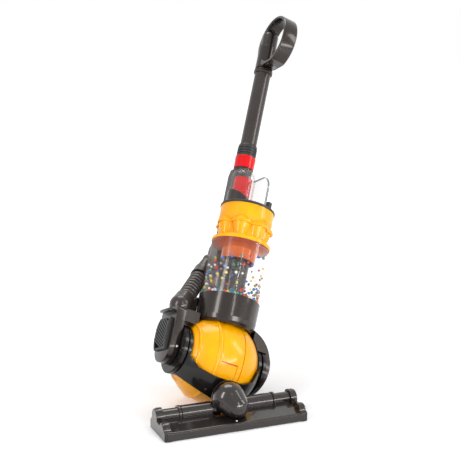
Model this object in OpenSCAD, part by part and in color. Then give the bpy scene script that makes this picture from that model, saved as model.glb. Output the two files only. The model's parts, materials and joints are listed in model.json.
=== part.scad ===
/* [Pose] */
// Sideways lean of the yoke, ball and body
steer_roll = 23.3; // [0:0.1:28]
// Backward lean of the body from upright
recline = 22.7; // [10:0.1:32]

/* [Common] */
// Wall of the moulded shells
wall = 2.4; // [1.8:0.1:3]
// Gap between fixed pieces that fit into each other
fit_gap = 0.3; // [0.2:0.05:0.4]
// Radial clearance of a turning pin
run_gap = 0.06; // [0.03:0.01:0.09]
// Gap between pieces that move past each other
move_gap = 1; // [0.8:0.1:1.4]

/* [Floor head] */
// Width across both end caps
head_w = 230; // [210:1:250]
// Depth from the front edge to the rear edge
head_d = 70; // [68:1:76]
// Height of the front face
head_front_h = 14; // [12:0.5:16]
// Height of the deck where it meets the tube
deck_h = 19.5; // [18:0.5:21]
// Radius of the long tube at its middle
tube_r = 12; // [11:0.5:12.5]
// Radius of the tube at its ends
tube_end_r = 10; // [8.5:0.5:10.5]
// Half length of the thick middle of the tube
tube_mid = 74; // [60:1:84]
// Height of the tube's axis
tube_z = 22.8; // [22:0.2:23.6]
// Distance of the tube's axis behind the middle
tube_y = 14; // [12:0.5:15]
// Width of the shoulder rings on the tube
shoulder_w = 3; // [2:0.5:5]
// Thickness of an end cap
cap_t = 11; // [8:0.5:14]
// Thickness of the sole plate
sole_t = 3; // [2.4:0.2:3.6]
// Length of the suction slot
slot_l = 150; // [100:5:170]
// Width of the suction slot
slot_w = 12; // [8:1:14]
// Radius of the sole screws' heads
screw_r = 3; // [2.4:0.2:3.4]

/* [Neck] */
// Width of the notch for the neck
notch_w = 51; // [50:0.5:58]
// Radius of the neck dome
dome_r = 25; // [22:0.5:25.5]
// Length of the dome in front of its widest place
dome_l = 37; // [32:0.5:39]
// Downward tilt of the dome's nose
dome_tilt = 28; // [20:1:30]
// Sideways turn of the dome's nose
dome_turn = 22; // [0:1:24]
// Height of the swivel axis above the floor
swivel_z = 41; // [40:0.5:42]
// How far the swivel boss stands in front of the yoke
boss_stand = 6.2; // [5:0.2:8]
// Radius of the swivel spigot
spigot_r = 8; // [6:0.5:9]
// Radius of the swivel flange
flange_r = 25; // [22:0.5:25]
// Thickness of the swivel flange
flange_t = 3; // [2:0.5:4]
// Radius of the hinge pin in the floor head
hinge_r = 3; // [2.5:0.25:4]

/* [Ball and yoke] */
// Radius of the ball
ball_r = 69.5; // [68:0.5:71]
// How far the ball's flat ends are cut in from its radius
end_cut = 3.5; // [3:0.5:6]
// Step from the ball's radius down to the drum
drum_step = 0.8; // [0.4:0.1:1.2]
// Step from the ball's radius up to the band between the ribs
band_step = 0.6; // [0.3:0.1:0.8]
// Length of the bowls' hubs
hub_l = 16; // [12:1:18]
// Place of the raised middle rib along the axis
rib_mid_x = -28; // [-32:1:-24]
// Place of the raised outer rib along the axis
rib_out_x = -51; // [-55:1:-47]
// Place of the seam along the axis
seam_x = 17; // [13:1:22]
// Thickness of the yoke's cradle
yoke_t = 4.5; // [3.5:0.5:5]
// Clear gap between the ball and the yoke
ball_gap = 2.4; // [2.3:0.1:2.8]
// Radius of the yoke's side discs
disc_r = 40; // [36:1:42]
// Thickness of the yoke's side discs
disc_t = 6; // [5:0.5:7]
// Height of the cradle's upper rim below the ball's axis
rim_low = 9.5; // [6:0.5:12]
// How far the cradle reaches below the swivel axis
rim_drop = 18; // [16:0.5:19]
// Radius of the pivot pins
pin_r = 6; // [5:0.5:7]

/* [Body] */
// Distance of the dust bin's axis in front of the ball's axis
bin_fwd = 12.5; // [11:0.5:14]
// How far the cup reaches down over the ball
cup_sink = 17; // [14:1:19]
// Height of the cup
cup_h = 46.5; // [44:0.5:50]
// Outer radius of the cup
cup_r = 49.6; // [48.5:0.1:50.5]
// Height of the clear bin above the cup
bin_h = 93.5; // [80:0.5:110]
// Wall of the clear bin
bin_wall = 1.6; // [1.2:0.1:2]
// Radius of the inner column
column_r = 20; // [16:0.5:22]
// Radius of the skirt inside the bin
skirt_r = 28.5; // [26:0.5:32]
// Length of the skirt below the flange
skirt_l = 27; // [20:1:34]
// Height of the yellow flange on the bin
flange_h = 6; // [5:0.5:8]
// Height of the cyclone body
cyclone_h = 56; // [50:1:64]
// Radius of the cyclone body's upper band
cyclone_r = 44.5; // [42:0.5:46]
// Number of cyclone cones
lobe_n = 7; // [6:1:9]
// Radius of a cone at its top
lobe_r = 17.5; // [14:0.5:18]
// Height of the dark top ring
ring_h = 4.5; // [3.5:0.5:6]
// Radius of a bead
bead_r = 1.9; // [1.5:0.1:2.2]
// Half width of the spine
spine_half = 16.5; // [16:0.5:18]
// Depth of the spine's battery housing
spine_d = 32; // [31.5:0.5:35]

/* [Side box and hose] */
// Thickness of the side box
box_t = 16; // [13:0.5:18]
// Front to back length of the side box
box_l = 54; // [48:1:58]
// Height of the side box above the pivot
box_top = 62; // [60:0.5:64]
// Depth of the grille block
grille_t = 8; // [6:0.5:10]
// Front to back length of the grille block
grille_l = 38; // [34:1:40]
// Depth of the grille block's barrel shape
grille_bulge = 4; // [2:0.5:5]
// Number of grille slats
slat_n = 10; // [7:1:13]
// Outer radius of the hose's ribs
hose_r = 14.5; // [12:0.5:15]
// Radius of the hose's bore
hose_bore_r = 10; // [8:0.5:10.5]
// Height of the hose's lower end above the side box
cuff_rise = 20; // [18:1:26]
// Rise of the hose between its ends
hose_rise = 60; // [54:1:66]
// Plain length at each end of the hose
hose_plain = 10; // [8:0.5:12]
// Number of hose ribs
rib_n = 8; // [5:1:10]

/* [Tower, wand and handle] */
// Height of the dark tower base
tower_h = 27; // [24:1:32]
// Slope of the tower base's upper edge
tower_slope = 26; // [0:1:28]
// Radius of the tower base and the visor
tower_r = 22; // [20:0.5:24]
// Height of the red sleeve
sleeve_h = 37; // [30:1:40]
// Distance of the wand's axis behind the ball's axis
wand_y = 34; // [33:0.5:35]
// Outer radius of the wand
wand_r = 14.2; // [12.5:0.1:14.6]
// Length of the wand between its collars
wand_l = 141; // [110:1:180]
// Height of the red cap
red_h = 22; // [16:0.5:26]
// Height of the ribbed collar
collar_h = 23; // [18:0.5:28]
// Height of the handle's collar ring
grip_ring_h = 9; // [6:0.5:12]
// Height of the handle loop
loop_h = 91; // [84:1:104]
// Depth of the handle loop from front to back
loop_d = 88; // [82:1:96]
// Width of the handle strap
strap_w = 27; // [22:1:29]
// Thickness of the handle strap
strap_t = 7; // [5:0.5:9]

/* [Hidden] */
$fn = 72;
far = 400;
neck_z = swivel_z;
neck_drop = (ball_r - neck_z) / cos(steer_roll);
ball_x = neck_drop * sin(steer_roll);
ball_half = ball_r - end_cut;
rim_deep = neck_drop + rim_drop;
cap_x = head_w / 2 - cap_t;
half_d = head_d / 2;
skirt_z = 0.6;
deck_y = tube_y - tube_r;
deck_front_y = -half_d + 3;
notch_front_y = -8;
notch_half = notch_w / 2;
nose_gap = 0.8;
dome_at_y = 3;
flange_y = 9;
boss_r = spigot_r + 1.6;
barrel_r = tube_r - 1;
barrel_mid_r = neck_z - tube_z - boss_r - 0.6;
clear_r = ball_r + ball_gap;
yoke_r = clear_r + yoke_t;
ball_y = flange_y + flange_t + fit_gap + boss_stand + yoke_r;
ball_at = [ball_x, ball_y, ball_r];
disc_x = ball_half + ball_gap;
disc_end = disc_x + disc_t;
arm_x = disc_end + move_gap;
arm_t = 10;
arm_end = arm_x + arm_t;
ear_r = 64;
ear_x = arm_end - 56;
bin_y = -bin_fwd;
cup_t0 = ball_r - cup_sink;
cup_t1 = cup_t0 + cup_h;
bin_r = cup_r - 1.3;
rebate = 4;
bin_t0 = cup_t1 - rebate;
bin_t1 = cup_t1 + bin_h;
floor_t = 2;
flange_t1 = bin_t1 + flange_h;
cyclone_t1 = flange_t1 + cyclone_h;
ring_t1 = cyclone_t1 + ring_h;
ring_r = cyclone_r + 1.2;
tower_t1 = ring_t1 + tower_h;
sleeve_t1 = tower_t1 + sleeve_h;
visor_t1 = sleeve_t1 - 2;
red_t0 = visor_t1 + tower_r + fit_gap;
red_t1 = red_t0 + red_h;
collar_t1 = red_t1 + collar_h;
wand_t1 = collar_t1 + wand_l;
socket_r = wand_r + 1.6;
tower_y = wand_y - 8;
spine_y = bin_y + cup_r + fit_gap;
box_x = arm_x;
box_end = box_x + box_t;
grille_end = box_end + grille_t;
box_y = 3;
cell_r = 13;
cell_l = 50;
cell_t0 = cup_t1 - 8;
saddle_t0 = cup_t0 - 2;
saddle_t1 = cup_t0 + 14;
// Hose ends in the body's frame
hose_low = [-(box_x - hose_r / 2), hose_r - 2, box_top + cuff_rise];
hose_high = [-(spine_half + hose_r + 1.5), spine_y + 8.6, box_top + cuff_rise + hose_rise];
hose_vec = hose_high - hose_low;
hose_len = norm(hose_vec);
hose_turn = [0, acos(hose_vec[2] / hose_len), atan2(hose_vec[1], hose_vec[0])];

charcoal = "#4a4542";
black = "#262424";
yellow = "#f9b60b";
red = "#e30613";

// Frames of the tilted groups
module at_yoke() translate(ball_at) rotate([0, steer_roll, 0]) children();
module at_body() at_yoke() rotate([-recline, 0, 0]) children();
module at_bin(t = 0) at_body() translate([0, bin_y, t]) children();
module at_wand(t = 0) at_body() translate([0, wand_y, t]) children();
module at_hose() at_body() translate(hose_low) rotate(hose_turn) children();

// Solids laid along the X axis
module along_x(x0, x1, r) translate([x0, 0, 0]) rotate([0, 90, 0]) cylinder(r = r, h = x1 - x0);
module extrude_x(x0, x1) translate([x0, 0, 0]) rotate([90, 0, 90]) linear_extrude(x1 - x0) children();
module spin_x() rotate([0, 90, 0]) rotate_extrude() children();
module tube(r, bore, h) difference() {
    cylinder(r = r, h = h);
    translate([0, 0, -1]) cylinder(r = bore, h = h + 2);
}

function turn(a) = [cos(a), sin(a)];
function arc(c, r, a0, a1, n = 8) = [for (i = [0:n]) c + r * turn(a0 + (a1 - a0) * i / n)];
function oval(c, ry, rz, n = 48) = [for (i = [0:n - 1]) c + [ry * cos(360 * i / n), rz * sin(360 * i / n)]];
function ball_ring(x, r = ball_r) = sqrt(r * r - x * x);

// Floor head
module deck_outline() polygon(concat(
    [[half_d, skirt_z], [-half_d + 1, skirt_z], [-half_d, skirt_z + 1.4]],
    arc([-half_d + 3, head_front_h - 3], 3, 180, 98),
    [[deck_y, deck_h], [tube_y + tube_r - 3, deck_h], [half_d - 2, 9], [half_d, 6]]));

module deck_hollow() polygon([
    [half_d - wall, -1], [-half_d + wall, -1], [-half_d + wall, head_front_h - wall - 0.6],
    [deck_y, deck_h - wall], [tube_y + tube_r - 4, deck_h - wall], [half_d - wall - 1.6, 7]]);

module head_shell() color(charcoal) difference() {
    union() {
        extrude_x(-cap_x, cap_x) deck_outline();
        translate([0, tube_y, tube_z]) {
            along_x(-cap_x, cap_x, tube_end_r);
            along_x(-tube_mid, tube_mid, tube_r);
            for (s = [-1, 1]) translate([s * (tube_mid + shoulder_w), 0, 0])
                along_x(-shoulder_w / 2, shoulder_w / 2, tube_r + 0.8);
        }
    }
    for (s = [0, 1]) mirror([s, 0, 0]) {
        extrude_x(notch_half + 10, cap_x - wall) deck_hollow();
        translate([0, tube_y, tube_z]) along_x(notch_half + 10, cap_x - wall, tube_end_r - wall);
    }
    extrude_x(-notch_half - 11, notch_half + 11)
        polygon([[notch_front_y - wall, -1], [-half_d + wall, -1], [-half_d + wall, head_front_h - wall - 0.6],
            [notch_front_y - wall, head_front_h]]);
    translate([-notch_half, notch_front_y, sole_t + 1]) cube([notch_w, head_d, far]);
    translate([-far, -half_d + wall - fit_gap, -1]) cube([2 * far, head_d - 2 * (wall - fit_gap), 1 + sole_t]);
    translate([0, tube_y, tube_z]) along_x(-notch_half - 9, notch_half + 9, hinge_r + 0.02);
}

module screw_places() for (x = [-1, 1], y = [-1, 1])
    translate([x * (cap_x - 12), y * (half_d - 14) + 4, 0]) children();

module sole_plate() color(black) difference() {
    translate([-cap_x + fit_gap, -half_d + wall, 0])
        cube([2 * (cap_x - fit_gap), head_d - 2 * wall, sole_t - 0.02]);
    translate([-slot_l / 2, -half_d + 10, -1]) cube([slot_l, slot_w, sole_t + 2]);
    screw_places() translate([0, 0, -1]) cylinder(r = screw_r + 0.2, h = sole_t + 2);
}

module sole_screws() color("silver") screw_places() difference() {
    translate([0, 0, 0.6]) cylinder(r = screw_r, h = sole_t - 0.6);
    for (a = [0, 90]) rotate([0, 0, a]) translate([-screw_r * 0.7, -0.4, 0]) cube([screw_r * 1.4, 0.8, 1.5]);
}

module cap_outline(inset) {
    polygon(concat([[half_d - inset, skirt_z], [-half_d + inset, skirt_z]],
        arc([-half_d + 4 + inset, head_front_h - 3], 4, 180, 110),
        [[tube_y, deck_h + 4 - inset], [half_d - 5 - inset, 18], [half_d - inset, 13]]));
    translate([-half_d + 17, head_front_h - 1]) circle(r = 12 - inset);
    translate([tube_y, tube_z]) circle(r = tube_r + 1.6 - inset);
}

module end_cap() {
    extrude_x(cap_x, cap_x + cap_t - 4) cap_outline(0);
    extrude_x(cap_x + cap_t - 4, cap_x + cap_t - 1.2) cap_outline(0.8);
    extrude_x(cap_x + cap_t - 1.2, cap_x + cap_t) cap_outline(2.2);
}
module end_cap_left() color(charcoal) mirror([1, 0, 0]) end_cap();
module end_cap_right() color(charcoal) end_cap();

module hinge_pin() color("silver") translate([0, tube_y, tube_z])
    along_x(-notch_half - 8, notch_half + 8, hinge_r);

// Neck: a glossy egg over a hinge barrel, with a flange that the yoke turns against
tip_r = dome_r * 0.78;
tip_at = dome_l - tip_r;
taper = asin((dome_r - tip_r) / tip_at);
module egg() rotate_extrude() intersection() {
    union() {
        circle(r = dome_r);
        translate([0, tip_at]) circle(r = tip_r);
        polygon([[0, dome_r * sin(taper)], (dome_r - 0.05) * turn(taper),
            [0, tip_at] + (tip_r - 0.05) * turn(taper), [0, tip_at + tip_r * sin(taper)]]);
    }
    translate([0, -dome_r * 0.6]) square([far, far]);
}

module neck_dome() color(charcoal) difference() {
    union() {
        intersection() {
            translate([0, dome_at_y, neck_z - 1]) rotate([90 + dome_tilt, 0, dome_turn]) rotate([0, 0, -90]) egg();
            translate([-far, -far, 0]) cube([2 * far, far + flange_y, far]);
        }
        translate([0, tube_y, tube_z]) {
            along_x(-boss_r - 3, boss_r + 3, barrel_mid_r);
            for (s = [0, 1]) mirror([s, 0, 0]) along_x(boss_r + 2, notch_half - move_gap, barrel_r);
        }
        translate([-12, dome_at_y, tube_z]) cube([24, flange_y - dome_at_y, neck_z - tube_z]);
    }
    extrude_x(-far, far) polygon([
        [-far, -1], [-far, head_front_h + nose_gap - 4], [deck_front_y, head_front_h + nose_gap],
        [deck_y - 7.5, deck_h + nose_gap], [deck_y - 7.5, -1]]);
    translate([0, tube_y, tube_z]) along_x(-far, far, hinge_r + run_gap);
    translate([0, flange_y + 1, neck_z]) rotate([90, 0, 0]) cylinder(r = spigot_r + 0.02, h = 8);
}

module neck_flange() color(charcoal) difference() {
    translate([0, flange_y, neck_z]) rotate([-90, 0, 0]) difference() {
        union() {
            cylinder(r = flange_r, h = flange_t / 2);
            translate([0, 0, flange_t / 2]) cylinder(r1 = flange_r, r2 = flange_r - 2, h = flange_t / 2);
        }
        translate([0, 0, -1]) cylinder(r = spigot_r + 0.02, h = flange_t + 2);
    }
    translate([0, tube_y, tube_z]) along_x(-far, far, barrel_r + fit_gap);
}

module neck_spigot() color("silver") translate([0, flange_y - 6.5, neck_z]) rotate([-90, 0, 0])
    cylinder(r = spigot_r, h = 6.5 + flange_t + 9);

// Yoke: a cradle round the front of the ball, deepest at the swivel and rising to a disc at each side
cradle_x = disc_x + 1;
module cradle_band() translate([0, 8, 0]) rotate([90, 0, 0]) linear_extrude(far) polygon([
    [0, -rim_deep], [cradle_x, -rim_deep + 0.23 * cradle_x],
    [cradle_x, disc_r * 0.6], [cradle_x * 0.75, disc_r * 0.25],
    [cradle_x * 0.65, -rim_low + 5], [cradle_x * 0.36, -rim_low], [-cradle_x * 0.36, -rim_low],
    [-cradle_x * 0.7, -rim_low + 3.5], [-cradle_x, disc_r * 0.25], [-cradle_x, -rim_deep + 0.23 * cradle_x]]);
module yoke_cradle() color(charcoal) at_yoke() difference() {
    union() {
        intersection() {
            rotate([0, 0, 90]) sphere(r = yoke_r);
            union() {
                cradle_band();
                for (s = [0, 1]) mirror([s, 0, 0]) along_x(ball_half * 0.6, cradle_x, disc_r - 0.6);
            }
        }
        for (s = [0, 1]) mirror([s, 0, 0]) {
            along_x(disc_x, disc_end - 1, disc_r);
            along_x(disc_end - 1, disc_end, disc_r - 1);
        }
        translate([0, flange_y + flange_t + fit_gap - ball_y, -neck_drop]) rotate([-90, 0, 0])
            cylinder(r = boss_r, h = 22);
    }
    rotate([0, 0, 90]) sphere(r = clear_r);
    for (s = [0, 1]) mirror([s, 0, 0]) along_x(0, far, pin_r + 0.02);
    translate([0, -ball_y, -neck_drop]) rotate([-90, 0, 0]) cylinder(r = spigot_r + run_gap, h = ball_y);
}

module pivot_pin() {
    along_x(ball_half - 14, arm_end - 2, pin_r);
}
module pivot_pin_left() color("silver") at_yoke() mirror([1, 0, 0]) pivot_pin();
module pivot_pin_right() color("silver") at_yoke() pivot_pin();

// Ball: a drum between two bowls, with raised ribs and a recessed hatch
hatch_x0 = rib_mid_x + 9;
hatch_x1 = seam_x - 8;
hatch_z0 = -42;
hatch_z1 = 15;
finger_slot = 2.4;

// Outline of a slice of the ball, turned about the axis
module slice_outline(x0, x1, step = 0) difference() {
    intersection() {
        circle(r = ball_r + step);
        translate([0, x0]) square([far, x1 - x0]);
    }
    circle(r = ball_r - wall - drum_step);
}
module rib_outline(x, r, h) translate([ball_ring(x) - r + h, x]) circle(r = r, $fn = 24);

module ball_drum() color(yellow) at_yoke() difference() {
    spin_x() {
        slice_outline(rib_mid_x, seam_x, -drum_step);
        intersection() {
            rib_outline(rib_mid_x + 3.2, 3.6, 1.9);
            translate([0, rib_mid_x]) square([far, far]);
        }
    }
    translate([hatch_x0, -far, hatch_z0]) cube([hatch_x1 - hatch_x0, far, hatch_z1 - hatch_z0]);
}

// Hub of a bowl, with the bore for its pivot pin
module bowl_outline(x0) {
    slice_outline(x0, ball_half);
    translate([pin_r + run_gap, ball_half - hub_l]) square([7, hub_l]);
    translate([pin_r + 5, ball_half - 3]) square([8, 3]);
}
module ball_left_shell() color(yellow) at_yoke() mirror([1, 0, 0]) spin_x() {
    bowl_outline(-rib_mid_x + 0.05);
    slice_outline(-rib_mid_x + 0.05, -rib_out_x, band_step);
    rib_outline(-rib_out_x, 2.6, 1.8);
}
module ball_right_shell() color(yellow) at_yoke() spin_x() bowl_outline(seam_x + 0.7);

module ball_hatch() color(yellow) at_yoke() intersection() {
    difference() {
        sphere(r = ball_r - drum_step - 1);
        sphere(r = ball_r - drum_step - 1 - wall);
    }
    translate([hatch_x0 + fit_gap, -far, hatch_z0 + fit_gap])
        cube([hatch_x1 - hatch_x0 - 2 * fit_gap, far, hatch_z1 - hatch_z0 - fit_gap - finger_slot]);
}

// Body frame: saddle under the cup, right arm, lugs for the side box, and the spine with its battery housing
module saddle() difference() {
    translate([0, bin_y, saddle_t0]) cylinder(r = cup_r + 6, h = saddle_t1 - saddle_t0);
    translate([-far, -far, 0]) cube([2 * far, far + bin_y + 8, far]);
}

module right_arm() intersection() {
    translate([ear_x, 0, 6]) sphere(r = ear_r);
    union() {
        extrude_x(20, arm_end) polygon([[-6, 0], [-26, 24], [-34, 60], [-30, 75], [42, 75], [40, 30], [10, 0]]);
        along_x(arm_x - 4, arm_end, disc_r - 4);
    }
}

lug_t0 = disc_r + move_gap + 1.5;
module left_lug() translate([-box_x + fit_gap, box_y - box_l / 2 + 4, lug_t0])
    cube([box_x - 30, box_l - 8, box_top - lug_t0]);

module spine() {
    extrude_x(-spine_half, spine_half) polygon([[spine_y - 8, saddle_t0 + 4], [spine_y + 12, saddle_t0 + 4],
        [spine_y + spine_d, cell_t0 - 6], [spine_y + spine_d, cell_t0 + 2 * cell_l + 8],
        [spine_y + 16, cell_t0 + 2 * cell_l + 26], [spine_y - 8, cell_t0 + 2 * cell_l + 26]]);
    extrude_x(-15, 15) polygon([[spine_y - 8, cup_t1], [spine_y + 15, cup_t1], [spine_y + 18, ring_t1],
        [wand_y + socket_r + 6, red_t0 - 12], [wand_y + socket_r + 1, red_t0 - 2], [wand_y, red_t0 - 2],
        [wand_y, ring_t1], [spine_y - 8, ring_t1 - 1]]);
}

module body_frame() color(charcoal) at_body() difference() {
    union() {
        saddle();
        right_arm();
        left_lug();
        spine();
    }
    sphere(r = clear_r);
    translate([0, bin_y, 0]) cylinder(r = cup_r + fit_gap, h = ring_t1 + fit_gap);
    along_x(-far, arm_x, disc_r + move_gap);
    along_x(arm_x - 1, far, pin_r + run_gap);
    translate([0, wand_y, ring_t1 - 2]) cylinder(r = socket_r + fit_gap, h = far);
    translate([-cell_r - 0.8, spine_y + wall, cell_t0 - 0.5])
        cube([2 * cell_r + 1.6, spine_d, 2 * cell_l + 2]);
}

module battery_cells() color("silver") at_body() for (t = [0, 1])
    translate([0, spine_y + wall + cell_r + 0.2, cell_t0 + t * (cell_l + 0.4)]) {
        cylinder(r = cell_r, h = cell_l - 2);
        cylinder(r = 3.4, h = cell_l);
    }

module battery_door() color(charcoal) at_body()
    translate([0, spine_y + spine_d - wall, cell_t0 - 0.3]) difference() {
        translate([-cell_r - 0.6, 0, 0]) cube([2 * cell_r + 1.2, wall, 2 * cell_l + 1.6]);
        for (k = [0:3]) translate([-9, wall - 0.8, 2 * cell_l - 14 + 3 * k]) cube([18, 1, 1.4]);
    }

// Side box with its louvred grille and speaker
module box_outline(inset) difference() {
    union() {
        translate([box_y, 0]) circle(r = box_l / 2 - inset);
        translate([box_y - box_l / 2 + inset, 0]) square([box_l - 2 * inset, box_top - 5]);
        translate([box_y - box_l / 2 + 5, 0]) square([box_l - 10, box_top - inset]);
        for (s = [-1, 1]) translate([box_y + s * (box_l / 2 - 5), box_top - 5]) circle(r = 5 - inset);
    }
}

grille_y = box_y - grille_l / 2 + 2;
grille_h = box_top - 10;
barrel = (grille_h * grille_h / 4 + grille_bulge * grille_bulge) / (2 * grille_bulge);
module side_box() color(charcoal) at_body() mirror([1, 0, 0]) difference() {
    union() {
        extrude_x(box_x, box_end - 2) box_outline(0);
        extrude_x(box_end - 2, box_end) box_outline(1.2);
        translate([box_end - 6, grille_y + 2, box_top - 9]) cube([grille_t + 7, grille_l - 4, 5]);
    }
    translate([box_end - 8, grille_y, -8]) cube([20, grille_l, grille_h]);
    along_x(0, box_x + 9.5, pin_r + run_gap);
}

module side_grille() color(black) at_body() mirror([1, 0, 0]) intersection() {
    translate([box_end - 2, grille_y + fit_gap, -8 + fit_gap])
        cube([grille_t + 2, grille_l - 2 * fit_gap, grille_h - 2 * fit_gap]);
    translate([grille_end - barrel, far, grille_h / 2 - 8]) rotate([90, 0, 0])
        cylinder(r = barrel, h = 2 * far);
    union() {
        translate([box_end - 2, -far, -far]) cube([1.4, 2 * far, 2 * far]);
        for (k = [0:slat_n - 1]) translate([box_end - 1, 0, -6 + k * (box_top - 12) / slat_n])
            rotate([32, 0, 0]) translate([0, -40, 0]) cube([grille_t + 0.6, 90, 2.4]);
        translate([box_end - 2, grille_y + fit_gap, -far]) cube([grille_t + 1.2, 3, 2 * far]);
        translate([box_end - 2, grille_y + grille_l - 3 - fit_gap, -far]) cube([grille_t + 1.2, 3, 2 * far]);
        translate([box_end - 2, -far, -8 + fit_gap]) cube([grille_t + 1.2, 2 * far, 3]);
    }
}

module speaker() color(black) at_body() mirror([1, 0, 0]) translate([0, box_y + 2, 16]) {
    along_x(box_end - 8, box_end - 5, 14);
    along_x(box_end - 5, box_end - 2 - fit_gap, 12);
}

// Hose between its two cuffs
cuff_l = hose_r - 1;
cuff_knee = hose_low - cuff_l * hose_vec / hose_len;
module hose_lower_cuff() color(charcoal) difference() {
    union() {
        at_hose() translate([0, 0, -cuff_l]) cylinder(r1 = hose_r + 2.8, r2 = hose_r + 1.8, h = cuff_l + 6);
        at_body() translate(cuff_knee) sphere(r = hose_r + 3.4);
        at_body() translate([cuff_knee[0], cuff_knee[1], box_top - 6])
            cylinder(r = hose_r + 2.4, h = cuff_knee[2] - box_top + 6);
    }
    at_hose() cylinder(r = hose_r + fit_gap, h = far);
    at_body() translate([-far, -far, box_top - far]) cube([2 * far, 2 * far, far]);
}

module hose() color(black) at_hose() rotate_extrude() polygon(concat(
    [[hose_bore_r, 0.1], [hose_r - 1.6, 0.1]],
    [for (k = [0:rib_n - 1], p = [[-0.34, -1.6], [-0.2, 0], [0.2, 0], [0.34, -1.6]])
        [hose_r + p[1], hose_plain + (hose_len - 2 * hose_plain) * (k + 0.5 + p[0]) / rib_n]],
    [[hose_r - 1.6, hose_len - 0.1], [hose_bore_r, hose_len - 0.1]]));

module hose_upper_cuff() color(charcoal) difference() {
    union() {
        at_hose() translate([0, 0, hose_len - 6]) cylinder(r1 = hose_r + 1.4, r2 = hose_r + 0.8, h = 17);
        at_body() translate(hose_high + 10 * hose_vec / hose_len) cuff_taper();
    }
    at_hose() translate([0, 0, -1]) cylinder(r = hose_r + fit_gap, h = hose_len + 1);
    at_body() translate([-spine_half - fit_gap, spine_y - 20, 0]) cube([2 * far, far, far]);
}
module cuff_taper() {
    sphere(r = hose_r + 1.3);
    rotate([-4, 14, 0]) cylinder(r1 = hose_r + 0.4, r2 = hose_r - 6, h = 2 * cuff_l - 1);
    rotate([-4, 14, 0]) translate([0, 0, 2 * cuff_l - 2]) sphere(r = hose_r - 5.2);
}

// Dust bin
module bin_cup() color(charcoal) difference() {
    at_bin(cup_t0) rotate_extrude() polygon([
        [0, 0], [cup_r - 5.6, 0], [cup_r - 2, 4], [cup_r - 0.6, 11], [cup_r, cup_h - 8], [cup_r, cup_h],
        [bin_r + 0.2, cup_h], [bin_r + 0.2, cup_h - rebate], [bin_r - 4, cup_h - rebate],
        [bin_r - 4, cup_h - rebate - 7], [0, cup_h - rebate - 7]]);
    at_yoke() sphere(r = clear_r);
    at_bin(cup_t1 - rebate - 7 - 14) cylinder(r = 12.3, h = far);
    at_bin(cup_t1 - rebate - 7 - 12) difference() {
        cylinder(r = 38, h = far);
        translate([0, 0, -1]) cylinder(r = 15, h = 13 + 0.5);
    }
}

module motor() color("silver") at_bin(cup_t1 - rebate - 7 - 14) {
    cylinder(r = 12.1, h = 13.6);
    cylinder(r = 1, h = 18);
}

fan_r = column_r + 10;
module bead_fan() color("silver") at_bin(cup_t1 - rebate - 6) difference() {
    union() {
        cylinder(r = 4, h = 4.6);
        cylinder(r = fan_r, h = 1);
        for (k = [0:8]) rotate([0, 0, 40 * k]) translate([3, -0.5, 0]) rotate([0, 0, 12])
            cube([fan_r - 4, 1, 4.4]);
    }
    translate([0, 0, -1]) cylinder(r = 1 + run_gap, h = 9);
}

module bin_floor() color(black) at_bin(cup_t1 - rebate) difference() {
    cylinder(r = bin_r - bin_wall - 0.2, h = floor_t);
    for (k = [0:17]) rotate([0, 0, 20 * k]) translate([column_r + 6, -1.2, -1]) cube([14, 2.4, floor_t + 2]);
}

module bin_clear() color([0.9, 0.95, 1, 0.3]) at_bin(bin_t0) tube(bin_r, bin_r - bin_wall, bin_t1 - bin_t0);

module inner_column() color([0.35, 0.35, 0.37, 0.7]) at_bin(bin_t0 + floor_t)
    tube(column_r, column_r - 1.6, bin_t1 - 14 - bin_t0 - floor_t);

// Beads lie in a row on the floor and cling to the wall above it
bead_seat_r = bin_r - bin_wall - bead_r - 0.25;
bead_row_n = 45;
bead_loose_n = 75;
bead_low = bin_t0 + floor_t + bead_r + 0.25;
function row_colour(k) = [2, 2, 0, 4, 1, 2, 0, 3, 0][k % 9];
function bead_angle(k) = 137.508 * k;
bead_climb = bin_h - skirt_l - 10;
function bead_rise(k) = bead_low + 2 * bead_r + 1 + bead_climb * pow((k + 0.5) / bead_loose_n, 1.4);
module beads(colour) at_bin() {
    for (k = [0:bead_row_n - 1]) if (row_colour(k) == colour)
        rotate([0, 0, 360 * k / bead_row_n]) translate([bead_seat_r, 0, bead_low])
            sphere(r = bead_r, $fn = 24);
    for (k = [0:bead_loose_n - 1]) if (k % 5 == colour)
        rotate([0, 0, bead_angle(k)]) translate([bead_seat_r, 0, bead_rise(k)]) sphere(r = bead_r, $fn = 24);
}
module beads_red() color("#d8232a") beads(0);
module beads_blue() color("#2f62c8") beads(1);
module beads_green() color("#0c8f78") beads(2);
module beads_yellow() color("#e8cf2a") beads(3);
module beads_white() color("#f2f2f0") beads(4);

// Cyclone
module cyclone_skirt() color(yellow) at_bin(bin_t1) rotate_extrude() polygon([
    [skirt_r - 1.8, -skirt_l], [skirt_r, -skirt_l], [skirt_r, -9],
    [bin_r - bin_wall - 3, -3], [bin_r - bin_wall - 0.3, -3], [bin_r - bin_wall - 0.3, 0], [bin_r, 0],
    [bin_r + 0.4, 1], [bin_r + 0.4, flange_h - 1], [bin_r - 0.6, flange_h], [skirt_r - 1.8, flange_h]]);

lobe_at = cyclone_r + 3.2 - lobe_r;
lobe_t1 = cyclone_h - 26;
module lobe() rotate_extrude() polygon([
    [0, 0.6], [lobe_r - 8, 0.6], [lobe_r - 1.4, lobe_t1 - 5], [lobe_r, lobe_t1 - 4],
    [lobe_r, lobe_t1 - 1], [lobe_r - 1.6, lobe_t1], [lobe_r * 0.6, lobe_t1 + 7], [0, lobe_t1 + 7]]);
module cyclone_core() rotate_extrude() polygon([
    [0, 0], [cyclone_r - 4, 0], [cyclone_r - 6, 4], [cyclone_r - 9.3, 5],
    [cyclone_r - 9.3, lobe_t1 - 4], [cyclone_r - 5, lobe_t1 - 2], [cyclone_r, lobe_t1 + 6],
    [cyclone_r, cyclone_h], [0, cyclone_h]]);
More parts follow.
